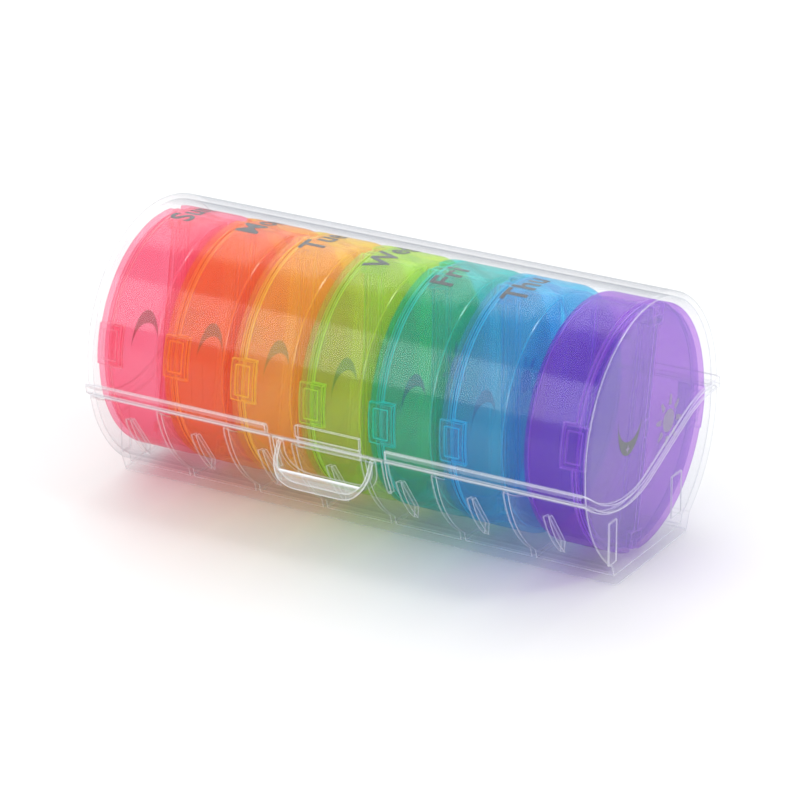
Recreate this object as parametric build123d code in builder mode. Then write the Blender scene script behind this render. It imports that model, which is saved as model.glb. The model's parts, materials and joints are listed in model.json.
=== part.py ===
from build123d import *
import math
import os

os.makedirs("parts", exist_ok=True)

# ---------------------------------------------------------------------------
# Travel pill organizer: a clear case (base tray and arched, hinged lid) that
# holds seven round day pods in a row.  Each pod is a two-chamber cup closed by
# two half-round flaps, one for the morning and one for the night.
#
# Frame: X along the row of pods, -Y the front (latch side), +Y the back
# (hinge side), Z up, origin at the middle of the flat bottom.  Millimetres.
# ---------------------------------------------------------------------------

# case shell
CASE_HALF = 77.1        # half length of the shell, without the rim bead
CASE_R = 37.0           # outer radius of the round sides and of the arched top
LOW_Z = 34.0            # centre height of the lower arc
TOP_Z = 36.0            # centre height of the upper arc
WALL = 1.5              # shell thickness
FLOOR_T = 1.8           # thickness of the flat bottom
FOOT_Z = 4.5            # where the round side turns into the steep foot
FOOT_Y = 20.6           # half width of the flat bottom
END_R = 1.8             # rounding where the sides meet the end walls
GAP = 0.3               # parting gap between lid and base
BEAD_OUT = 0.9          # how far the lid's rim bead stands proud
BEAD_H = 2.3            # height of the rim bead

# parting line, seen from the end (y, z): low in front, rising to the hinge
SEAM_FRONT = 28.93      # height along the front wall
SEAM_BACK = 35.9        # height along the back wall
VALLEY_Y, VALLEY_Z, VALLEY_R = -16.2, 21.3, 33.0
SLOPE = math.radians(23.75)

# pods
POD_R = 33.4
POD_Z = 36.3
POD_T = 19.2            # overall thickness, floor to flap face
BODY_H = 16.0           # height of the cup
POD_WALL = 1.5
POD_FLOOR = 1.5
DIVIDER_T = 1.5
BAND_W = 2.6            # central band that carries both flap hinges
BAND_TOP = 19.0
EDGE_R = 3.0            # rounding of the cup's bottom edge
FLAP_T = 1.3
FLAP_GAP = 0.3
SKIRT_T = 1.2
TAB_W = 11.4            # thumb tab, along the rim
TAB_LOW = 12.0          # how far down the rim the tab reaches
TAB_OUT = 0.6           # how far the tab stands proud of the rim
HINGE_X = 1.75          # flap hinge axis, distance from the band's middle
HINGE_U = 18.55         # and its height above the cup's bottom
BARREL_R = 0.65
GROOVE_R = 0.72
BARREL_HALF = 27.6
STUB_R = 0.40
STUB_BORE_R = 0.46
EAR_LEN = 2.4
EAR_W = 5.4

# day, left face, direction the flaps face, spin in the cradle (degrees, front tab up)
PODS = [
    ("sun", -75.25, -1, 10.0),
    ("mon", -54.0, -1, 11.0),
    ("tue", -32.6, -1, 7.0),
    ("wed", -11.2, -1, 3.0),
    ("fri", 10.2, -1, 1.0),
    ("thu", 31.6, -1, 0.0),
    ("sat", 55.4, 1, 10.0),
]

# tray ribs between the pods and fins under each pod
RIB_X = [-55.1, -33.7, -12.3, 9.1, 30.5, 51.9]
RIB_T = 1.2
RIB_R = 27.0            # inner arc of the ribs
FIN_X = [-66.2, -45.0, -23.8, -2.4, 19.0, 40.4, 63.0]
FIN_T = 1.4
FIN = [(-37.0, 21.9), (-30.9, 21.1), (-23.6, 10.9), (-24.2, 6.6), (-25.4, 3.0), (-33.0, 3.0)]

# latch
LATCH_X = -0.9          # middle of the latch
PANEL_HALF = 17.3       # half width of the springy panel between the slits
SLIT_W = 0.8
SLIT_Z = 17.8           # bottom of the slits
LIP_HALF = 14.8         # thumb lip
LIP_LOW = 16.8
LIP_TOP = 27.6
LIP_OUT = 41.8
LIP_T = 1.2
LIP_CORNER = 8.0
TONGUE_HALF = 9.7
TONGUE_X = -1.6         # middle of the tongue, between two ribs
TONGUE_LOW = 25.4
TONGUE_TOP = 32.0
TONGUE_SWING = 73.95     # inner face of the tongue, measured from the hinge axis, clears the pods' tabs
TONGUE_RO = 35.15

# case hinge at the back
PIN_Y = 39.6
PIN_Z = 36.1
KNUCKLE_R = 2.2
PIN_R = 1.00
BORE_R = 1.06
HINGES_X = [-46.0, 46.0]
LID_KNUCKLE = 9.0
EAR_T = 3.4
EAR_GAP = 0.3


def side_outline(grow, floor_z):
    """Closed end-view outline of the case, grown outwards by grow, flat at floor_z."""
    r = CASE_R + grow
    foot_y = FOOT_Y + grow * 1.12
    bend_y = math.sqrt(r * r - (LOW_Z - FOOT_Z) ** 2)
    a0 = math.degrees(math.atan2(FOOT_Z - LOW_Z, bend_y))
    with BuildLine() as outline:
        Line((-foot_y, floor_z), (foot_y, floor_z))
        Line((foot_y, floor_z), (bend_y, FOOT_Z))
        CenterArc((0, LOW_Z), r, a0, -a0)
        Line((r, LOW_Z), (r, TOP_Z))
        CenterArc((0, TOP_Z), r, 0, 180)
        Line((-r, TOP_Z), (-r, LOW_Z))
        CenterArc((0, LOW_Z), r, 180, -a0)
        Line((-bend_y, FOOT_Z), (-foot_y, floor_z))
    return outline.line


def seam_region(shift, above):
    """Closed area above or below the parting line moved up by shift."""
    front = VALLEY_Y - math.sqrt(VALLEY_R**2 - (VALLEY_R - (SEAM_FRONT - VALLEY_Z)) ** 2)
    rise = VALLEY_R * (1 - math.cos(SLOPE))
    reach = VALLEY_R * math.sin(SLOPE)
    p0 = (front, SEAM_FRONT + shift)
    p1 = (VALLEY_Y, VALLEY_Z + shift)
    p2 = (VALLEY_Y + reach, VALLEY_Z + rise + shift)
    run = (SEAM_BACK - rise - (VALLEY_Z + rise)) / math.tan(SLOPE)
    p3 = (p2[0] + run, SEAM_BACK - rise + shift)
    p5 = (p3[0] + reach, SEAM_BACK + shift)
    half = SLOPE / 2
    p4 = (p5[0] - VALLEY_R * math.sin(half), p5[1] - VALLEY_R * (1 - math.cos(half)))
    far = 120.0 if above else -20.0
    with BuildLine() as edge:
        Line((-60, p0[1]), p0)
        ThreePointArc(p0, p1, p2)
        Line(p2, p3)
        ThreePointArc(p3, p4, p5)
        Line(p5, (60, p5[1]))
        Polyline((60, p5[1]), (60, far), (-60, far), (-60, p0[1]))
    return edge.line


def end_edges(part, half):
    """Outer edges where the round sides and the arched top meet the two end walls."""
    found = part.edges().filter_by(lambda e: abs(abs(e.center().X) - half) < 1e-3)
    return found.filter_by(lambda e: e.center().Z > 0.01)


END_PLANE = Plane.YZ.offset(-CASE_HALF)
BEAD_PLANE = Plane.YZ.offset(-CASE_HALF - BEAD_OUT)
FAR_PLANE = Plane.YZ.offset(-100.0)
IN_PLANE = Plane.YZ.offset(-CASE_HALF + WALL)

# ---------------------------------------------------------------------------
# thumb lip: a flared scoop moulded on the front of the tray's springy panel
# ---------------------------------------------------------------------------
with BuildPart() as thumb_lip:
    with BuildSketch(Plane.XZ.offset(30.0)):
        with Locations((LATCH_X, (LIP_TOP + LIP_LOW) / 2 + 4.0)):
            RectangleRounded(2 * LIP_HALF, LIP_TOP - LIP_LOW + 8.0, LIP_CORNER)
    extrude(amount=LIP_OUT - 30.0)
    with BuildSketch(Plane.YZ.offset(-40.0)):
        with BuildLine():
            Polyline((-30, LIP_TOP), (-37.3, LIP_TOP), (-LIP_OUT, LIP_LOW + 2.2), (-LIP_OUT, LIP_LOW - 1), (-30, LIP_LOW - 1), close=True)
        make_face()
    extrude(amount=80.0, mode=Mode.INTERSECT)
    # leave a wall that follows the outline and the sloped face
    with BuildSketch(Plane.XZ.offset(29.0)):
        with Locations((LATCH_X, (LIP_TOP + LIP_LOW) / 2 + 4.0)):
            RectangleRounded(2 * (LIP_HALF - LIP_T), LIP_TOP - LIP_LOW + 8.0 - 2 * LIP_T, LIP_CORNER - LIP_T)
    extrude(amount=LIP_OUT - LIP_T - 29.0, mode=Mode.SUBTRACT)

# ---------------------------------------------------------------------------
# case_base: tray with floor, end walls, ribs, fins, thumb lip and hinge ears
# ---------------------------------------------------------------------------
with BuildPart() as case_base:
    # closed loaf, hollowed and opened above the parting line
    with BuildSketch(END_PLANE):
        with BuildLine():
            add(side_outline(0.0, 0.0))
        make_face()
    extrude(amount=2 * CASE_HALF)
    fillet(end_edges(case_base, CASE_HALF), END_R)
    add(thumb_lip.part)
    with BuildSketch(IN_PLANE):
        with BuildLine():
            add(side_outline(-WALL, FLOOR_T))
        make_face()
    extrude(amount=2 * (CASE_HALF - WALL), mode=Mode.SUBTRACT)
    with BuildSketch(FAR_PLANE):
        with BuildLine():
            add(seam_region(-GAP / 2, True))
        make_face()
    extrude(amount=200.0, mode=Mode.SUBTRACT)
    # shallow channels inside the end walls
    for y0, y1 in ((-22.6, -18.4), (12.6, 18.2)):
        for x0 in (-CASE_HALF + WALL - 0.4, CASE_HALF - WALL - 0.1):
            with BuildSketch(Plane.YZ.offset(x0)):
                with Locations(((y0 + y1) / 2, 12.0)):
                    Rectangle(y1 - y0, 12.0)
            extrude(amount=0.5, mode=Mode.SUBTRACT)
    # ribs between the pods
    for x in RIB_X:
        with BuildSketch(Plane.YZ.offset(x - RIB_T / 2)):
            with BuildLine():
                add(side_outline(-WALL / 2, FLOOR_T / 2))
            make_face()
            with BuildLine():
                add(seam_region(-GAP / 2 - 0.4, False))
            make_face(mode=Mode.INTERSECT)
            with Locations((0, POD_Z)):
                Circle(RIB_R, mode=Mode.SUBTRACT)
        extrude(amount=RIB_T)
    # fins that carry each pod's rim
    for x in FIN_X:
        for side in (1, -1):
            with BuildSketch(Plane.YZ.offset(x - FIN_T / 2)):
                with BuildLine():
                    Polyline(*[(side * y, z) for y, z in FIN], close=True)
                make_face()
                with BuildLine():
                    add(side_outline(-WALL / 2, FLOOR_T / 2))
                make_face(mode=Mode.INTERSECT)
            extrude(amount=FIN_T)
    # springy panel: a slit at each side
    with BuildSketch(Plane.XZ.offset(30.0)):
        with Locations((LATCH_X - PANEL_HALF, SLIT_Z + 10), (LATCH_X + PANEL_HALF, SLIT_Z + 10)):
            Rectangle(SLIT_W, 20.0)
    extrude(amount=15.0, mode=Mode.SUBTRACT)
    # hinge ears at the back
    for hx in HINGES_X:
        for s in (-1, 1):
            x0 = hx + s * (LID_KNUCKLE / 2 + EAR_GAP + EAR_T / 2) - EAR_T / 2
            with BuildSketch(Plane.YZ.offset(x0)):
                with BuildLine():
                    Polyline((PIN_Y + KNUCKLE_R * 0.93, PIN_Z - KNUCKLE_R * 0.36), (36.2, 26.5), (35.9, 32.5), (36.6, 35.1), (PIN_Y - 0.4, PIN_Z), close=True)
                make_face()
                with Locations((PIN_Y, PIN_Z)):
                    Circle(KNUCKLE_R)
                    Circle(BORE_R, mode=Mode.SUBTRACT)
            extrude(amount=EAR_T)
    # room for the lid's knuckles
    with BuildSketch(Plane.YZ.offset(HINGES_X[0] - LID_KNUCKLE / 2 - EAR_GAP)):
        with Locations((PIN_Y, PIN_Z)):
            Circle(KNUCKLE_R + 0.35)
    extrude(amount=LID_KNUCKLE + 2 * EAR_GAP, mode=Mode.SUBTRACT)
    with BuildSketch(Plane.YZ.offset(HINGES_X[1] - LID_KNUCKLE / 2 - EAR_GAP)):
        with Locations((PIN_Y, PIN_Z)):
            Circle(KNUCKLE_R + 0.35)
    extrude(amount=LID_KNUCKLE + 2 * EAR_GAP, mode=Mode.SUBTRACT)
case_base.part.label = "case_base"
export_step(case_base.part, "parts/case_base.step")

# ---------------------------------------------------------------------------
# case_lid: arched clear cover with a rim bead, latch tongue and hinge knuckles
# ---------------------------------------------------------------------------
with BuildPart() as rim_bead:
    with BuildSketch(BEAD_PLANE):
        with Locations((0, (LOW_Z + TOP_Z) / 2)):
            SlotCenterToCenter(TOP_Z - LOW_Z, 2 * (CASE_R + BEAD_OUT), rotation=90)
    extrude(amount=2 * (CASE_HALF + BEAD_OUT))
    fillet(end_edges(rim_bead, CASE_HALF + BEAD_OUT), END_R + BEAD_OUT)
    with BuildSketch(Plane.YZ.offset(-CASE_HALF + WALL / 2)):
        with Locations((0, (LOW_Z + TOP_Z) / 2)):
            SlotCenterToCenter(TOP_Z - LOW_Z, 2 * (CASE_R - WALL / 2), rotation=90)
    extrude(amount=2 * (CASE_HALF - WALL / 2), mode=Mode.SUBTRACT)
    with BuildSketch(FAR_PLANE):
        with BuildLine():
            add(seam_region(GAP / 2 + BEAD_H, True))
        make_face()
    extrude(amount=200.0, mode=Mode.SUBTRACT)
    with BuildSketch(FAR_PLANE):
        with BuildLine():
            add(seam_region(GAP / 2 + 0.06, False))
        make_face()
    extrude(amount=200.0, mode=Mode.SUBTRACT)
    # the bead stops at the latch
    with BuildSketch(Plane.XZ.offset(20.0)):
        with Locations((LATCH_X, 30.0)):
            Rectangle(2 * PANEL_HALF + 2.0, 14.0)
    extrude(amount=30.0, mode=Mode.SUBTRACT)

with BuildPart() as case_lid:
    with BuildSketch(END_PLANE):
        with BuildLine():
            add(side_outline(0.0, 0.0))
        make_face()
    extrude(amount=2 * CASE_HALF)
    fillet(end_edges(case_lid, CASE_HALF), END_R)
    # hollow
    with BuildSketch(IN_PLANE):
        with BuildLine():
            add(side_outline(-WALL, FLOOR_T))
        make_face()
    extrude(amount=2 * (CASE_HALF - WALL), mode=Mode.SUBTRACT)
    with BuildSketch(FAR_PLANE):
        with BuildLine():
            add(seam_region(GAP / 2, False))
        make_face()
    extrude(amount=200.0, mode=Mode.SUBTRACT)
    add(rim_bead.part)
    # latch tongue, reaching down inside the tray's front wall
    with BuildSketch(Plane.YZ.offset(TONGUE_X - TONGUE_HALF)):
        with Locations((0, LOW_Z)):
            Circle(TONGUE_RO)
        with Locations((PIN_Y, PIN_Z)):
            Circle(TONGUE_SWING, mode=Mode.SUBTRACT)
        with BuildLine():
            Polyline((-40, TONGUE_LOW), (-20, TONGUE_LOW), (-20, TONGUE_TOP), (-40, TONGUE_TOP), close=True)
        make_face(mode=Mode.INTERSECT)
    extrude(amount=2 * TONGUE_HALF)
    with BuildSketch(Plane.YZ.offset(TONGUE_X - TONGUE_HALF)):
        with BuildLine():
            Polyline((-36.2, 28.75), (-34.35, 28.75), (-34.35, TONGUE_TOP), (-36.2, TONGUE_TOP), close=True)
        make_face()
    extrude(amount=2 * TONGUE_HALF)
    # room for the tray's hinge ears
    for hx in HINGES_X:
        for s in (-1, 1):
            x0 = hx + s * (LID_KNUCKLE / 2 + EAR_GAP + EAR_T / 2) - EAR_T / 2 - EAR_GAP
            with BuildSketch(Plane.YZ.offset(x0)):
                with Locations((PIN_Y, PIN_Z)):
                    Circle(KNUCKLE_R + 0.35)
            extrude(amount=EAR_T + 2 * EAR_GAP, mode=Mode.SUBTRACT)
    # knuckles with their stub pins
    for hx in HINGES_X:
        with BuildSketch(Plane.YZ.offset(hx - LID_KNUCKLE / 2)):
            with BuildLine():
                Polyline((PIN_Y + KNUCKLE_R * 0.93, PIN_Z + KNUCKLE_R * 0.36), (36.3, 45.5), (35.9, 40.5), (36.4, 37.9), (PIN_Y - 0.4, PIN_Z), close=True)
            make_face()
            with Locations((PIN_Y, PIN_Z)):
                Circle(KNUCKLE_R)
        extrude(amount=LID_KNUCKLE)
        with BuildSketch(Plane.YZ.offset(hx - LID_KNUCKLE / 2 - EAR_GAP - EAR_T + 0.4)):
            with Locations((PIN_Y, PIN_Z)):
                Circle(PIN_R)
        extrude(amount=LID_KNUCKLE + 2 * (EAR_GAP + EAR_T - 0.4))
case_lid.part.label = "case_lid"
export_step(case_lid.part, "parts/case_lid.step")

# ---------------------------------------------------------------------------
# seven pods, each a cup and two half-round flaps
# local frame: z from the cup's bottom towards the flaps, x towards the night
# flap's thumb tab, y along the divider
# ---------------------------------------------------------------------------
for day, left, facing, spin in PODS:
    s = math.radians(spin)
    bottom_x = left if facing > 0 else left + POD_T
    seat = Plane(origin=(bottom_x, 0, POD_Z), x_dir=(0, -math.cos(s), math.sin(s)), z_dir=(facing, 0, 0))
    up = Axis(seat.origin, seat.z_dir)
    along = Plane(origin=seat.origin, x_dir=seat.x_dir, z_dir=seat.y_dir)
    # on the plane "along" the local y axis points away from the flaps
    sgn = 1.0 if along.y_dir.dot(seat.z_dir) > 0 else -1.0

    with BuildPart() as pod_body:
        with BuildSketch(seat):
            Circle(POD_R)
        extrude(amount=BODY_H)
        fillet(pod_body.edges().sort_by(up)[0], EDGE_R)
        # step under the flaps' skirts
        with BuildSketch(seat.offset(BODY_H - 0.9)):
            Circle(POD_R + 1.0)
            Circle(POD_R - 0.45, mode=Mode.SUBTRACT)
        extrude(amount=2.0, mode=Mode.SUBTRACT)
        # two chambers either side of the divider
        with BuildSketch(seat.offset(POD_FLOOR)):
            Circle(POD_R - POD_WALL)
            Rectangle(DIVIDER_T, 2 * POD_R, mode=Mode.SUBTRACT)
        extrude(amount=BODY_H, mode=Mode.SUBTRACT)
        # central band on top of the divider
        with BuildSketch(seat.offset(BODY_H - 1.5)):
            Circle(POD_R - 0.8)
            Rectangle(BAND_W, 2 * POD_R, mode=Mode.INTERSECT)
        extrude(amount=BAND_TOP - BODY_H + 1.5)
        # ears at both ends of the band
        with BuildSketch(seat.offset(BODY_H - 1.5)):
            with Locations((0, BARREL_HALF + 0.25 + EAR_LEN / 2), (0, -BARREL_HALF - 0.25 - EAR_LEN / 2)):
                Rectangle(EAR_W, EAR_LEN)
        extrude(amount=POD_T - BODY_H + 1.5)
        # raised nub in the middle of the band
        with BuildSketch(seat.offset(BAND_TOP - 0.5)):
            RectangleRounded(2.2, 5.0, 0.9)
        extrude(amount=POD_T + 0.0 - BAND_TOP + 0.5)
        # hinge grooves along the band and stub bores in the ears
        with BuildSketch(along.offset(-BARREL_HALF - 0.25)):
            with Locations((HINGE_X, sgn * HINGE_U), (-HINGE_X, sgn * HINGE_U)):
                Circle(GROOVE_R)
        extrude(amount=2 * BARREL_HALF + 0.5, mode=Mode.SUBTRACT)
        with BuildSketch(along.offset(-BARREL_HALF - 0.25 - 1.7)):
            with Locations((HINGE_X, sgn * HINGE_U), (-HINGE_X, sgn * HINGE_U)):
                Circle(STUB_BORE_R)
        extrude(amount=2 * (BARREL_HALF + 0.25 + 1.7), mode=Mode.SUBTRACT)
        # recess behind each thumb tab
        with BuildSketch(seat.offset(TAB_LOW - FLAP_GAP)):
            Circle(POD_R + 2.0)
            Circle(POD_R - 0.95, mode=Mode.SUBTRACT)
            Rectangle(2 * POD_R + 6.0, TAB_W + 2 * FLAP_GAP, mode=Mode.INTERSECT)
        extrude(amount=BODY_H, mode=Mode.SUBTRACT)
    pod_body.part.label = "pod_body_" + day
    export_step(pod_body.part, "parts/pod_body_" + day + ".step")

    for half, side in (("pm", 1), ("am", -1)):
        with BuildPart() as flap:
            # skirt
            with BuildSketch(seat.offset(BODY_H + FLAP_GAP)):
                Circle(POD_R)
                Circle(POD_R - SKIRT_T, mode=Mode.SUBTRACT)
                with Locations((side * (POD_R + BAND_W / 2 + 0.9), 0)):
                    Rectangle(2 * POD_R, 2 * POD_R + 2, mode=Mode.INTERSECT)
            extrude(amount=POD_T - FLAP_T - BODY_H - FLAP_GAP)
            # half-round plate
            with BuildSketch(seat.offset(POD_T - FLAP_T)):
                Circle(POD_R)
                with Locations((side * (POD_R + HINGE_X + 0.1), 0)):
                    Rectangle(2 * POD_R, 2 * POD_R + 2, mode=Mode.INTERSECT)
            extrude(amount=FLAP_T)
            fillet(flap.edges().filter_by(GeomType.CIRCLE).sort_by(up)[-1], 0.7)
            # clear the ears
            with BuildSketch(seat.offset(BODY_H)):
                with Locations((0, BARREL_HALF + 6.0), (0, -BARREL_HALF - 6.0)):
                    Rectangle(EAR_W + 0.6, 12.0)
            extrude(amount=POD_T, mode=Mode.SUBTRACT)
            # hinge barrel with a stub at each end
            with BuildSketch(along.offset(-BARREL_HALF)):
                with Locations((side * HINGE_X, sgn * HINGE_U)):
                    Circle(BARREL_R)
            extrude(amount=2 * BARREL_HALF)
            with BuildSketch(along.offset(-BARREL_HALF - 1.6)):
                with Locations((side * HINGE_X, sgn * HINGE_U)):
                    Circle(STUB_R)
            extrude(amount=2 * (BARREL_HALF + 1.6))
            # thumb tab over the rim
            with BuildSketch(seat.offset(TAB_LOW)):
                Circle(POD_R + TAB_OUT)
                Circle(POD_R - 0.65, mode=Mode.SUBTRACT)
                with Locations((side * POD_R, 0)):
                    Rectangle(12.0, TAB_W, mode=Mode.INTERSECT)
            extrude(amount=POD_T - TAB_LOW - 0.2)
            # finger slot across the tab
            with BuildSketch(seat.offset(TAB_LOW + 1.4)):
                Circle(POD_R + 2.0)
                Circle(POD_R + 0.1, mode=Mode.SUBTRACT)
                with Locations((side * POD_R, 0)):
                    Rectangle(12.0, TAB_W - 3.0, mode=Mode.INTERSECT)
            extrude(amount=4.2, mode=Mode.SUBTRACT)
        flap.part.label = half + "_lid_" + day
        export_step(flap.part, "parts/" + half + "_lid_" + day + ".step")
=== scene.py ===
import bpy
import bmesh
import json
import math
from mathutils import Matrix, Vector


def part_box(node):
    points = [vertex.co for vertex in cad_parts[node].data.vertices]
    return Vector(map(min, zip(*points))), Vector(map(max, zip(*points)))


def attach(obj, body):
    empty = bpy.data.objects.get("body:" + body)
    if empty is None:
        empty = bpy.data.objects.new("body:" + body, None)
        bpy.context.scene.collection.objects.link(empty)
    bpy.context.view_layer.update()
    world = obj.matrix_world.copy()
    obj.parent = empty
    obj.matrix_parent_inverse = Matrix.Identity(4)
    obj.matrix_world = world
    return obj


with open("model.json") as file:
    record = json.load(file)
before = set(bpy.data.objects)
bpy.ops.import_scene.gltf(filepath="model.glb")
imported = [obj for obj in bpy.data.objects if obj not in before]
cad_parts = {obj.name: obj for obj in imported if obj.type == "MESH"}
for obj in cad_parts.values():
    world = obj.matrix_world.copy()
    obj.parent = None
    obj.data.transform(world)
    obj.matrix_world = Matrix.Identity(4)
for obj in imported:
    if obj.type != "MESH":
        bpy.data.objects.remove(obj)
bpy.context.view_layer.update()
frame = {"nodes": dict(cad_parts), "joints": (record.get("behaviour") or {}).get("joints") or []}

nodes = frame["nodes"]
joints = {j["name"]: j for j in frame["joints"]}

# ---------------------------------------------------------------- helpers
def new_mat(name):
    m = bpy.data.materials.new(name)
    m.use_nodes = True
    nt = m.node_tree
    nt.nodes.clear()
    out = nt.nodes.new("ShaderNodeOutputMaterial")
    return m, nt, out


def node(nt, kind, **values):
    n = nt.nodes.new(kind)
    for k, v in values.items():
        if k.startswith("in_"):
            key = k[3:].replace("_", " ")
            for s in n.inputs:
                if s.name == key:
                    s.default_value = v
                    break
        else:
            setattr(n, k, v)
    return n


def sock(n, name, which=0):
    found = [s for s in n.inputs if s.name == name and s.enabled]
    return found[which]


def math_node(nt, op, a, b=None, clamp=False):
    n = nt.nodes.new("ShaderNodeMath")
    n.operation = op
    n.use_clamp = clamp
    for i, v in enumerate((a, b)):
        if v is None:
            continue
        if isinstance(v, (int, float)):
            n.inputs[i].default_value = v
        else:
            nt.links.new(v, n.inputs[i])
    return n.outputs[0]


def mix_colour(nt, fac, a, b, blend="MIX"):
    n = nt.nodes.new("ShaderNodeMix")
    n.data_type = "RGBA"
    n.blend_type = blend
    for s, v in ((n.inputs[0], fac), (n.inputs[6], a), (n.inputs[7], b)):
        if isinstance(v, (int, float)):
            s.default_value = v
        elif isinstance(v, tuple):
            s.default_value = (*v[:3], 1.0)
        else:
            nt.links.new(v, s)
    return n.outputs[2]


def moulded_bump(nt, scale, strength, distance, scratch=0.0):
    """Fine moulding texture: soft waviness, and optionally hairline scratches."""
    tex = node(nt, "ShaderNodeTexCoord")
    noise = node(nt, "ShaderNodeTexNoise")
    noise.inputs["Scale"].default_value = scale
    noise.inputs["Detail"].default_value = 3.0
    nt.links.new(tex.outputs["Object"], noise.inputs["Vector"])
    height = noise.outputs["Fac"]
    if scratch > 0:
        stretch = node(nt, "ShaderNodeMapping")
        stretch.inputs["Scale"].default_value = (60.0, 900.0, 900.0)
        stretch.inputs["Rotation"].default_value = (0.3, 0.5, 0.9)
        nt.links.new(tex.outputs["Object"], stretch.inputs["Vector"])
        lines = node(nt, "ShaderNodeTexNoise")
        lines.inputs["Scale"].default_value = 1.0
        lines.inputs["Detail"].default_value = 2.0
        nt.links.new(stretch.outputs[0], lines.inputs["Vector"])
        fine = math_node(nt, "MULTIPLY", lines.outputs["Fac"], scratch)
        height = math_node(nt, "ADD", height, fine)
    bump = node(nt, "ShaderNodeBump")
    bump.inputs["Strength"].default_value = strength
    bump.inputs["Distance"].default_value = distance
    nt.links.new(height, bump.inputs["Height"])
    return bump.outputs["Normal"], noise.outputs["Fac"], tex


def edge_mask(nt, radius, gain):
    """1 on moulded edges, 0 on open faces."""
    geo = node(nt, "ShaderNodeNewGeometry")
    bev = node(nt, "ShaderNodeBevel", samples=4)
    bev.inputs["Radius"].default_value = radius
    dot = node(nt, "ShaderNodeVectorMath", operation="DOT_PRODUCT")
    nt.links.new(bev.outputs[0], dot.inputs[0])
    nt.links.new(geo.outputs["Normal"], dot.inputs[1])
    away = math_node(nt, "SUBTRACT", 1.0, dot.outputs["Value"])
    return math_node(nt, "MULTIPLY", away, gain, clamp=True)


# ---------------------------------------------------------------- materials
def gloss_share(nt, normal, f0, top=1.0):
    """Share of light a smooth plastic skin throws back, the same from both sides of a wall."""
    lw = node(nt, "ShaderNodeLayerWeight")
    lw.inputs["Blend"].default_value = 0.5
    if normal is not None:
        nt.links.new(normal, lw.inputs["Normal"])
    p = math_node(nt, "POWER", lw.outputs["Facing"], 5.0)
    return math_node(nt, "ADD", math_node(nt, "MULTIPLY", p, top - f0), f0, clamp=True)


def clear_shell():
    m, nt, out = new_mat("clear_polystyrene")
    normal, wave, tex = moulded_bump(nt, 55.0, 0.05, 0.0003, 0.2)
    face = node(nt, "ShaderNodeLayerWeight")
    face.inputs["Blend"].default_value = 0.5
    deep = math_node(nt, "POWER", face.outputs["Facing"], 6.0)
    clear = node(nt, "ShaderNodeBsdfTransparent")
    nt.links.new(mix_colour(nt, deep, (0.995, 0.996, 0.998), (0.45, 0.48, 0.53)), clear.inputs["Color"])
    skin = node(nt, "ShaderNodeBsdfPrincipled")
    skin.inputs["Base Color"].default_value = (0.9, 0.92, 0.95, 1)
    skin.inputs["Metallic"].default_value = 1.0
    nt.links.new(normal, skin.inputs["Normal"])
    # roughness picks up faint wipe marks
    rough = node(nt, "ShaderNodeMapRange")
    rough.inputs["From Min"].default_value = 0.35
    rough.inputs["From Max"].default_value = 0.7
    rough.inputs["To Min"].default_value = 0.09
    rough.inputs["To Max"].default_value = 0.16
    nt.links.new(wave, rough.inputs["Value"])
    nt.links.new(rough.outputs[0], skin.inputs["Roughness"])
    share = gloss_share(nt, normal, 0.014, 0.40)
    first = node(nt, "ShaderNodeMixShader")
    nt.links.new(share, first.inputs[0])
    nt.links.new(clear.outputs[0], first.inputs[1])
    nt.links.new(skin.outputs[0], first.inputs[2])
    # painted highlight: moulded edges are mixed towards a whitish diffuse skin, and the open wall carries a
    # trace of haze
    rim = node(nt, "ShaderNodeBsdfPrincipled")
    rim.inputs["Roughness"].default_value = 0.2
    rim_col = mix_colour(nt, wave, (0.68, 0.70, 0.75), (0.88, 0.89, 0.92))
    nt.links.new(rim_col, rim.inputs["Base Color"])
    edges = edge_mask(nt, 0.0009, 4.0)
    # faces that stand across the case, and the thumb lip, get a painted whitish reflection; a small noise
    # term adds real haze
    split = node(nt, "ShaderNodeSeparateXYZ")
    nt.links.new(tex.outputs["Normal"], split.inputs[0])
    across = math_node(nt, "POWER", math_node(nt, "ABSOLUTE", split.outputs[0]), 4.0)
    where = node(nt, "ShaderNodeSeparateXYZ")
    nt.links.new(tex.outputs["Object"], where.inputs[0])
    lip = math_node(nt, "LESS_THAN", where.outputs[1], -0.0377)
    painted_reflection_and_haze = math_node(nt, "ADD", math_node(nt, "MULTIPLY", across, 0.06), math_node(nt, "MULTIPLY", lip, 0.14))
    painted_reflection_and_haze = math_node(nt, "ADD", painted_reflection_and_haze, math_node(nt, "MULTIPLY", wave, 0.02))
    # painted highlight on moulded edges, plus painted reflection on cross faces and the lip, plus a trace of
    # real haze
    painted_glare_and_haze = math_node(nt, "ADD", math_node(nt, "MULTIPLY", edges, 0.72), painted_reflection_and_haze, clamp=True)
    mix = node(nt, "ShaderNodeMixShader")
    nt.links.new(painted_glare_and_haze, mix.inputs[0])
    nt.links.new(first.outputs[0], mix.inputs[1])
    nt.links.new(rim.outputs[0], mix.inputs[2])
    nt.links.new(mix.outputs[0], out.inputs["Surface"])
    return m


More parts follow.
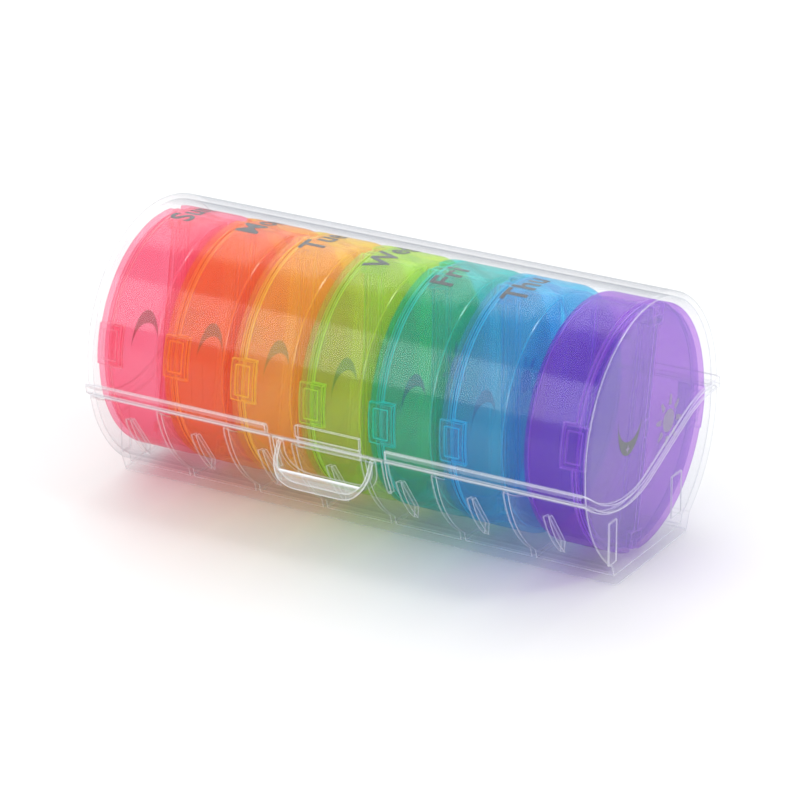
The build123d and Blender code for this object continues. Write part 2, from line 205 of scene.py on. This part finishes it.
def tinted(name, shade, edge_highlight, clear_tint, opacity):
    """Translucent tinted polypropylene: mostly see-through tint, some scattered colour, glossy skin."""
    m, nt, out = new_mat(name)
    normal, wave, tex = moulded_bump(nt, 90.0, 0.05, 0.0003, 0.15)
    face = node(nt, "ShaderNodeLayerWeight")
    face.inputs["Blend"].default_value = 0.5
    graze = math_node(nt, "POWER", face.outputs["Facing"], 3.0)
    cloud = node(nt, "ShaderNodeMapRange")
    cloud.inputs["From Min"].default_value = 0.3
    cloud.inputs["From Max"].default_value = 0.75
    cloud.inputs["To Min"].default_value = 0.0
    cloud.inputs["To Max"].default_value = 0.25
    nt.links.new(wave, cloud.inputs["Value"])
    see = node(nt, "ShaderNodeBsdfTransparent")
    deeper = tuple(c ** 2.6 for c in clear_tint)
    nt.links.new(mix_colour(nt, math_node(nt, "ADD", graze, cloud.outputs[0], clamp=True), clear_tint, deeper), see.inputs["Color"])
    # painted highlight: moulded edges take the lighter edge colour and extra opacity
    edges = edge_mask(nt, 0.0008, 5.0)
    colour = mix_colour(nt, edges, shade, edge_highlight)
    body = node(nt, "ShaderNodeBsdfPrincipled")
    body.inputs["Roughness"].default_value = 0.2
    body.inputs["IOR"].default_value = 1.45
    nt.links.new(colour, body.inputs["Base Color"])
    nt.links.new(normal, body.inputs["Normal"])
    glow = node(nt, "ShaderNodeBsdfTranslucent")
    nt.links.new(colour, glow.inputs["Color"])
    both = node(nt, "ShaderNodeMixShader")
    both.inputs[0].default_value = 0.5
    nt.links.new(body.outputs[0], both.inputs[1])
    nt.links.new(glow.outputs[0], both.inputs[2])
    # opacity rises at grazing angles, and also on moulded edges as part of the painted edge highlight
    op = math_node(nt, "ADD", math_node(nt, "ADD", math_node(nt, "MULTIPLY", graze, 0.25), opacity), math_node(nt, "MULTIPLY", edges, 0.45), clamp=True)
    mix = node(nt, "ShaderNodeMixShader")
    nt.links.new(op, mix.inputs[0])
    nt.links.new(see.outputs[0], mix.inputs[1])
    nt.links.new(both.outputs[0], mix.inputs[2])
    # skin gloss over the lot
    skin = node(nt, "ShaderNodeBsdfGlossy")
    skin.inputs["Color"].default_value = (1, 1, 1, 1)
    skin.inputs["Roughness"].default_value = 0.14
    nt.links.new(normal, skin.inputs["Normal"])
    top = node(nt, "ShaderNodeMixShader")
    nt.links.new(gloss_share(nt, normal, 0.018, 0.28), top.inputs[0])
    nt.links.new(mix.outputs[0], top.inputs[1])
    nt.links.new(skin.outputs[0], top.inputs[2])
    nt.links.new(top.outputs[0], out.inputs["Surface"])
    return m


def ink(name, colour):
    m, nt, out = new_mat(name)
    normal, wave, tex = moulded_bump(nt, 900.0, 0.15, 0.00005)
    body = node(nt, "ShaderNodeBsdfPrincipled")
    body.inputs["Roughness"].default_value = 0.45
    shade = mix_colour(nt, wave, colour, tuple(c * 1.5 + 0.003 for c in colour))
    nt.links.new(shade, body.inputs["Base Color"])
    nt.links.new(normal, body.inputs["Normal"])
    nt.links.new(body.outputs[0], out.inputs["Surface"])
    return m


shell = clear_shell()
# day: scattered colour, lighter colour on moulded edges (a painted highlight), see-through tint of one wall
# face (linear)
TINTS = {
    "sun": ((1.0, 0.13, 0.25), (1.0, 0.50, 0.60), (1.0, 0.73, 0.82)),
    "mon": ((1.0, 0.25, 0.0), (1.0, 0.46, 0.04), (1.0, 0.86, 0.22)),
    "tue": ((1.0, 0.58, 0.0), (1.0, 0.78, 0.06), (1.0, 0.95, 0.25)),
    "wed": ((0.50, 0.72, 0.0), (0.66, 0.95, 0.12), (0.90, 1.0, 0.32)),
    "fri": ((0.0, 0.46, 0.42), (0.0, 0.84, 0.80), (0.16, 0.96, 0.96)),
    "thu": ((0.0, 0.46, 0.78), (0.06, 0.74, 1.0), (0.30, 0.92, 1.0)),
    "sat": ((0.29, 0.03, 0.62), (0.54, 0.26, 0.92), (0.86, 0.62, 0.97)),
}
cup = {d: tinted("cup_" + d, *TINTS[d], 0.19) for d in TINTS}
flap = {d: tinted("flap_" + d, *TINTS[d], 0.10) for d in TINTS}
dark_ink = ink("slate_ink", (0.006, 0.014, 0.018))
pale_ink = ink("pale_ink", (0.17, 0.11, 0.27))

for n, o in nodes.items():
    if n.startswith("case_"):
        mat = shell
    else:
        day = n.rsplit("_", 1)[1]
        mat = (cup if n.startswith("pod_body") else flap)[day]
    for i in range(max(1, len(o.data.materials))):
        if len(o.data.materials) <= i:
            o.data.materials.append(mat)
        else:
            o.data.materials[i] = mat
    for s in o.material_slots:
        s.material = mat

# ---------------------------------------------------------------- printed marks
POD_R = 0.0334
POD_T = 0.0192
LIFT = 0.00006
PODS = {
    # day: (spin in degrees as built, side the flaps face, text shown)
    "sun": (10.0, -1, "Sun"), "mon": (11.0, -1, "Mon"), "tue": (7.0, -1, "Tue"), "wed": (3.0, -1, "Wed"),
    "fri": (1.0, -1, "Fri"), "thu": (0.0, -1, "Thu"), "sat": (10.0, 1, "Sat"),
}


def seat_matrix(day):
    """Pod frame: z from the cup's bottom to the flaps, x to the night tab, y along the divider."""
    spin, facing, _ = PODS[day]
    lo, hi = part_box("pod_body_" + day)
    axis = joints["pod_" + day + "_spin"]["pos_m"]
    s = math.radians(spin)
    zx = Vector((facing, 0, 0))
    xx = Vector((0, -math.cos(s), math.sin(s)))
    yx = zx.cross(xx)
    bottom = axis[0] - facing * POD_T / 2
    m = Matrix((
        (xx[0], yx[0], zx[0], bottom),
        (xx[1], yx[1], zx[1], axis[1]),
        (xx[2], yx[2], zx[2], axis[2]),
        (0, 0, 0, 1)))
    return m


def flat_mesh(name, rings, depth):
    """Thin closed slab from 2D outlines (list of point lists, first is outer)."""
    cu = bpy.data.curves.new(name + "_c", "CURVE")
    cu.dimensions = "2D"
    cu.fill_mode = "BOTH"
    cu.extrude = depth / 2
    for ring in rings:
        sp = cu.splines.new("POLY")
        sp.points.add(len(ring) - 1)
        for p, (x, y) in zip(sp.points, ring):
            p.co = (x, y, 0, 1)
        sp.use_cyclic_u = True
    ob = bpy.data.objects.new(name + "_tmp", cu)
    bpy.context.scene.collection.objects.link(ob)
    bpy.context.view_layer.update()
    me = bpy.data.meshes.new_from_object(ob.evaluated_get(bpy.context.evaluated_depsgraph_get()))
    me.name = name
    bpy.data.objects.remove(ob)
    return me


def text_mesh(name, body, size):
    cu = bpy.data.curves.new(name + "_c", "FONT")
    cu.body = body
    cu.size = size
    cu.resolution_u = 4
    cu.offset = size * 0.02
    cu.extrude = 0.00002
    cu.space_character = 1.06
    ob = bpy.data.objects.new(name + "_tmp", cu)
    bpy.context.scene.collection.objects.link(ob)
    bpy.context.view_layer.update()
    me = bpy.data.meshes.new_from_object(ob.evaluated_get(bpy.context.evaluated_depsgraph_get()))
    me.name = name
    bpy.data.objects.remove(ob)
    return me


def subdivide_long(me, limit):
    bm = bmesh.new()
    bm.from_mesh(me)
    bmesh.ops.remove_doubles(bm, verts=bm.verts, dist=1e-7)
    bmesh.ops.triangulate(bm, faces=bm.faces)
    for _ in range(5):
        long_edges = [e for e in bm.edges if e.calc_length() > limit]
        if not long_edges:
            break
        bmesh.ops.subdivide_edges(bm, edges=long_edges, cuts=1)
        bmesh.ops.triangulate(bm, faces=[f for f in bm.faces if len(f.verts) > 3])
    bm.to_mesh(me)
    bm.free()


def add_piece(name, me, mat, body):
    ob = bpy.data.objects.new(name, me)
    bpy.context.scene.collection.objects.link(ob)
    me.materials.clear()
    me.materials.append(mat)
    for p in me.polygons:
        p.use_smooth = False
    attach(ob, body)
    return ob


def arc(cx, cy, r, a0, a1, n):
    return [(cx + r * math.cos(math.radians(a0 + (a1 - a0) * i / n)), cy + r * math.sin(math.radians(a0 + (a1 - a0) * i / n))) for i in range(n + 1)]


def crescent(half, deep, inner):
    """Slim crescent with its tips on the line y = 0 and its belly towards +y."""
    n = 40
    outer = [(-half * math.cos(math.pi * i / n), deep * math.sin(math.pi * i / n)) for i in range(n + 1)]
    back_in = [(half * math.cos(math.pi * i / n), inner * math.sin(math.pi * i / n)) for i in range(1, n)]
    return outer + back_in


def star(cx, cy, r, n=4, k=0.38, rot=90):
    pts = []
    for i in range(2 * n):
        rr = r if i % 2 == 0 else r * k
        a = math.radians(rot + 180.0 * i / n)
        pts.append((cx + rr * math.cos(a), cy + rr * math.sin(a)))
    return pts


for day, (spin, facing, text) in PODS.items():
    M = seat_matrix(day)
    body = "pod_" + day
    # day name on the rim: reads round the top, letters' feet towards the cup's bottom
    me = text_mesh("label_" + day, text, 0.0096)
    subdivide_long(me, 0.0006)
    co = [v.co.copy() for v in me.vertices]
    x_min = min(c.x for c in co)
    cap = max(c.y for c in co)
    top_u = POD_T - 0.0040
    start = math.radians(90.0 - 16.5)
    for v, c in zip(me.vertices, co):
        ang_along = (c.x - x_min) / POD_R
        u = top_u - (cap - c.y)
        r = POD_R + LIFT + (0.00004 if c.z > 0 else 0.0)
        # angle measured in the pod's local x (night tab) / y plane
        a = start + ang_along
        v.co = M @ Vector((r * math.cos(a), r * math.sin(a), u))
    me.update()
    add_piece("label_" + day, me, dark_ink, body)
    # moon on the night flap, sun on the morning flap
    moon = flat_mesh("moon_" + day, [crescent(0.0067, 0.0105, 0.0068)], 0.00005)
    moon.transform(M @ Matrix.Translation((0.0103, -0.0050, POD_T + LIFT)))
    add_piece("moon_" + day, moon, dark_ink, body)
    spark = flat_mesh("moon_star_" + day, [star(0, 0, 0.00125)], 0.00004)
    spark.transform(M @ Matrix.Translation((0.0103, 0.0037, POD_T + LIFT + 0.00006)))
    add_piece("moon_star_" + day, spark, pale_ink, body)
    rays = []
    sun = flat_mesh("sun_" + day, [arc(0, 0, 0.0032, 0, 352.5, 47)], 0.00005)
    bm = bmesh.new()
    bm.from_mesh(sun)
    for k in range(8):
        a = math.radians(45 * k)
        ca, sa = math.cos(a), math.sin(a)
        for (r0, r1, hw) in ((0.0043, 0.0072, 0.0009),):
            for zz in (0.000025,):
                q = [(r0, -hw), (r1, -hw * 0.5), (r1, hw * 0.5), (r0, hw)]
                top = [bm.verts.new((x * ca - y * sa, x * sa + y * ca, zz)) for x, y in q]
                low = [bm.verts.new((x * ca - y * sa, x * sa + y * ca, -zz)) for x, y in q]
                bm.faces.new(top)
                bm.faces.new(low[::-1])
                for i in range(4):
                    j = (i + 1) % 4
                    bm.faces.new((top[i], low[i], low[j], top[j]))
    bm.to_mesh(sun)
    bm.free()
    sun.transform(M @ Matrix.Translation((-0.0125, 0.0, POD_T + LIFT)))
    add_piece("sun_" + day, sun, pale_ink, body)

# ---------------------------------------------------------------- stage
floor_me = bpy.data.meshes.new("floor")
S = 3.0
floor_me.from_pydata([(-S, -S, 0), (S, -S, 0), (S, S, 0), (-S, S, 0)], [], [(0, 1, 2, 3)])
floor = bpy.data.objects.new("floor", floor_me)
bpy.context.scene.collection.objects.link(floor)
floor.location.z = -0.0002
fm, nt, out = new_mat("pale_floor")
tex = node(nt, "ShaderNodeTexCoord")
fn = node(nt, "ShaderNodeTexNoise")
fn.inputs["Scale"].default_value = 6.0
nt.links.new(tex.outputs["Object"], fn.inputs["Vector"])
fb = node(nt, "ShaderNodeBsdfPrincipled")
fb.inputs["Roughness"].default_value = 0.6
fb.inputs["Emission Color"].default_value = (1, 1, 1, 1)
fb.inputs["Emission Strength"].default_value = 0.05
col = mix_colour(nt, fn.outputs["Fac"], (0.72, 0.72, 0.725), (0.75, 0.75, 0.75))
nt.links.new(col, fb.inputs["Base Color"])
nt.links.new(fb.outputs[0], out.inputs["Surface"])
floor_me.materials.append(fm)

world = bpy.data.worlds.new("studio")
bpy.context.scene.world = world
world.use_nodes = True
bg = world.node_tree.nodes["Background"]
bg.inputs["Color"].default_value = (1, 1, 1, 1)
bg.inputs["Strength"].default_value = 0.88


def area(name, loc, aim, size, size_y, power, colour=(1, 1, 1)):
    li = bpy.data.lights.new(name, "AREA")
    li.shape = "RECTANGLE"
    li.size = size
    li.size_y = size_y
    li.energy = power
    li.color = colour
    ob = bpy.data.objects.new(name, li)
    bpy.context.scene.collection.objects.link(ob)
    ob.location = loc
    ob.rotation_euler = (Vector(aim) - Vector(loc)).to_track_quat("-Z", "Y").to_euler()
    return ob


CENTRE = (0.0, 0.0, 0.035)


def lamp(name, direction, dist, size, size_y, power):
    d = Vector(direction).normalized() * dist
    return area(name, tuple(Vector(CENTRE) + d), CENTRE, size, size_y, power)


lamp("streak_high", (0.615, 0.186, 0.765), 0.9, 0.16, 0.16, 1.7)
lamp("streak_low", (0.786, -0.564, 0.255), 0.9, 0.10, 0.20, 1.2)
lamp("front_soft", (-0.473, -0.726, 0.499), 1.0, 1.0, 0.6, 3.4)
lamp("back_soft", (-0.30, 0.60, 0.74), 1.1, 1.3, 0.9, 6.0)

# ---------------------------------------------------------------- camera
AZ, EL, ROLL = math.radians(30.736), math.radians(22.242), math.radians(-0.307)
DIST = 1.13731
back = Vector((math.sin(AZ) * math.cos(EL), -math.cos(AZ) * math.cos(EL), math.sin(EL)))
right = Vector((math.cos(AZ), math.sin(AZ), 0.0))
up = back.cross(right)
target = Vector((0, 0, 0.03265))
r2 = right * math.cos(ROLL) + up * math.sin(ROLL)
u2 = back.cross(r2)
cam_data = bpy.data.cameras.new("camera")
cam_data.sensor_width = 36.0
cam_data.lens = 4229.1 / 800 * 36.0
cam_data.clip_start = 0.05
cam_data.clip_end = 20
cam_data.shift_x = -0.19 / 800
cam_data.shift_y = -12.75 / 800
cam = bpy.data.objects.new("camera", cam_data)
bpy.context.scene.collection.objects.link(cam)
pos = target + back * DIST
cam.matrix_world = Matrix((
    (r2.x, u2.x, back.x, pos.x),
    (r2.y, u2.y, back.y, pos.y),
    (r2.z, u2.z, back.z, pos.z),
    (0, 0, 0, 1)))
bpy.context.scene.camera = cam
sc = bpy.context.scene
sc.cycles.max_bounces = 6
sc.cycles.transparent_max_bounces = 40
sc.cycles.diffuse_bounces = 2
sc.cycles.glossy_bounces = 3
sc.cycles.transmission_bounces = 4
sc.cycles.caustics_reflective = False
sc.cycles.caustics_refractive = False
sc.view_settings.view_transform = "Standard"
sc.view_settings.look = "None"
